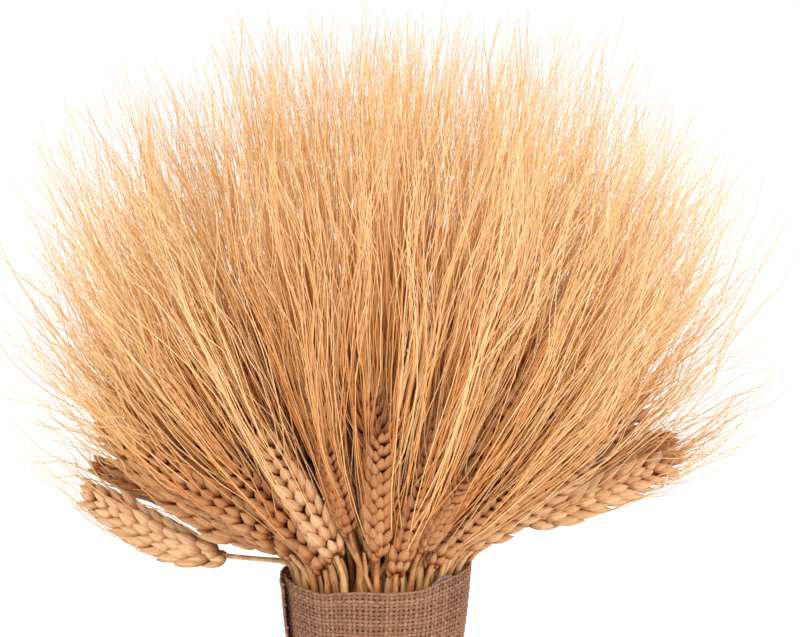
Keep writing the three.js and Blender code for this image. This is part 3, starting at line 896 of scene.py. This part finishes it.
film_mesh.materials.append(film_finish)
film = bpy.data.objects.new("crumpled_film", film_mesh)
scene.collection.objects.link(film)
wall = film.modifiers.new("wall", "SOLIDIFY")
wall.thickness = 0.12 * MM
wall.offset = 0
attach(film, "root")
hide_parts("film_sleeve")

# ---------------------------------------------------------------------------------------------
# Burlap wrap: a strip of plain-woven jute rolled once round the sleeve. The weft runs round the
# bundle and the warp stands up. Its free edge is at the front left, where the weft has frayed
# and stands off the layer beneath. A straight pick finishes the rim and the foot.
# ---------------------------------------------------------------------------------------------
CLOTH_FOOT = 40 * MM
WARP_PITCH, WEFT_PITCH = 2.3 * MM, 1.9 * MM
CLOTH_INSET = 3.45 * MM
WARP_HALF_WIDTH, WEFT_HALF_WIDTH = 0.82 * MM, 0.74 * MM
YARN_DRIFT = 0.12
CRIMP = 0.42 * MM
EDGE_TURN = -2.75
LAP = 16 * MM
LAY_OVER, LAY_OVER_EASE = 1.5 * MM, 45 * MM
FRAYED, FRAYED_FLARE = 13 * MM, 2.4
RIM_TILT = (0.07, 0.045)
CLOTH_R = 42.45 * MM

jute, tree, shader = finish_of("jute_yarn", Roughness=0.9)
where = node(tree, "ShaderNodeTexCoord").out("Object")
strand = node(tree, "ShaderNodeAttribute", attribute_name="strand").out("Fac")
turn = node(tree, "ShaderNodeAttribute", attribute_name="round").out("Fac")
fuzz = node(tree, "ShaderNodeTexNoise", {"Vector": where * 2200, "Detail": 3.0})
slubs = node(tree, "ShaderNodeTexNoise", {"Vector": where * 150, "Detail": 2.0})
shade = fuzz.out("Fac") * 0.5 + slubs.out("Fac") * 0.3 + strand * 0.2
colour = node(tree, "ShaderNodeValToRGB", {"Fac": shade}, stops=[
    (0.28, (0.15, 0.06, 0.026)), (0.48, (0.31, 0.145, 0.073)), (0.62, (0.40, 0.205, 0.112)),
    (0.8, (0.54, 0.31, 0.185))])
fibre = node(tree, "ShaderNodeBump", {"Strength": 0.8, "Distance": 0.0003, "Height": fuzz.out("Fac")})
wire_up(tree, shader, Base_Color=colour, Normal=fibre)

warps = round((2 * math.pi * CLOTH_R + LAP) / WARP_PITCH)
wefts = round((RIM_Z - CLOTH_FOOT) / WEFT_PITCH)
round_turn = 2 * math.pi + LAP / CLOTH_R
start_turn = EDGE_TURN - LAP / CLOTH_R


def cloth_point(warp, weft, proud):
    """Where a warp and a weft cross, proud of the cloth's middle by a given depth."""
    share = warp / (warps - 1)
    turn = start_turn + round_turn * share
    up = weft / (wefts - 1)
    z = CLOTH_FOOT + (RIM_Z - CLOTH_FOOT) * up
    ring_r, straw_r = waist_at(z)
    length = share * round_turn * CLOTH_R
    whole = round_turn * CLOTH_R
    over = LAY_OVER * smooth(length, whole - LAP - LAY_OVER_EASE, whole - LAP)
    flare = FRAYED_FLARE + 1.2 * noise.noise(Vector((up * 9, 2, 5)))
    over += flare * MM * smooth(length, whole - FRAYED, whole)
    spot = Vector((math.cos(turn) * 3, math.sin(turn) * 3, up * 4 + 7))
    ripple = (0.25 + 0.6 * up ** 12) * MM * noise.noise(spot)
    radius = ring_r + straw_r + CLOTH_INSET + over + ripple + proud
    z += (0.9 + 0.9 * up ** 12) * MM * noise.noise(spot * 0.9 + Vector((0, 9, 0)))
    turn += 0.02 * noise.noise(spot * 0.8 + Vector((5, 0, 0))) + 0.03 * (up - 0.5)
    x, y = radius * math.cos(turn), radius * math.sin(turn)
    return Vector((x, y, z + (RIM_TILT[0] * x + RIM_TILT[1] * y) * up ** 6)), Vector(
        (math.cos(turn), math.sin(turn), 0))


def add_yarn(yarns, places, half_width, seed):
    """One yarn along its crossings: (warp, weft, proud) in order."""
    first, cell, shade = len(yarns.points), yarns.next_cell(Growth.STRAW), random.random()
    for i, (warp, weft, proud) in enumerate(places):
        point, facing = cloth_point(warp, weft, proud)
        slub = 1 + 0.22 * noise.noise(Vector((i * 0.11, seed * 3.7, 0)))
        yarns.add(Growth.STRAW, point, thick=half_width * slub, along=i / (len(places) - 1),
                  strand=shade, cell=cell, face=facing)
    yarns.edges += [(k, k + 1) for k in range(first, len(yarns.points) - 1)]


random.seed(5)
warp_yarns, weft_yarns = Growth(), Growth()
for warp in range(warps - 1):
    drift = random.uniform(-YARN_DRIFT, YARN_DRIFT)
    places = []
    for step in range(2 * wefts - 1):
        weft = step / 2
        side = (1 if (warp + step // 2) % 2 else -1) if step % 2 == 0 else 0
        places.append((warp + drift, weft, side * CRIMP))
    add_yarn(warp_yarns, places, WARP_HALF_WIDTH, warp)
for weft in range(wefts):
    drift = random.uniform(-YARN_DRIFT, YARN_DRIFT) if 0 < weft < wefts - 1 else 0
    frayed = warps - 1 + random.uniform(-0.5, 0.4)
    places = []
    for step in range(2 * warps + 2):
        warp = step / 2
        if warp > frayed:
            break
        side = (-1 if (int(warp) + weft) % 2 else 1) if step % 2 == 0 else 0
        places.append((warp, weft + drift, side * CRIMP))
    add_yarn(weft_yarns, places, WEFT_HALF_WIDTH, 200 + weft)
yarn_tree = strip_tree("jute_strand", 4, 0.52, jute)
warp_cloth = made_of("burlap_warp", warp_yarns.mesh("burlap_warp"), yarn_tree, LEFT_OVER, Strips=1,
                     Rows=warp_yarns.cells[Growth.STRAW])
weft_cloth = made_of("burlap_weft", weft_yarns.mesh("burlap_weft"), yarn_tree, LEFT_OVER, Strips=1,
                     Rows=weft_yarns.cells[Growth.STRAW])
for cloth in (warp_cloth, weft_cloth):
    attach(cloth, "root")
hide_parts("burlap_wrap")
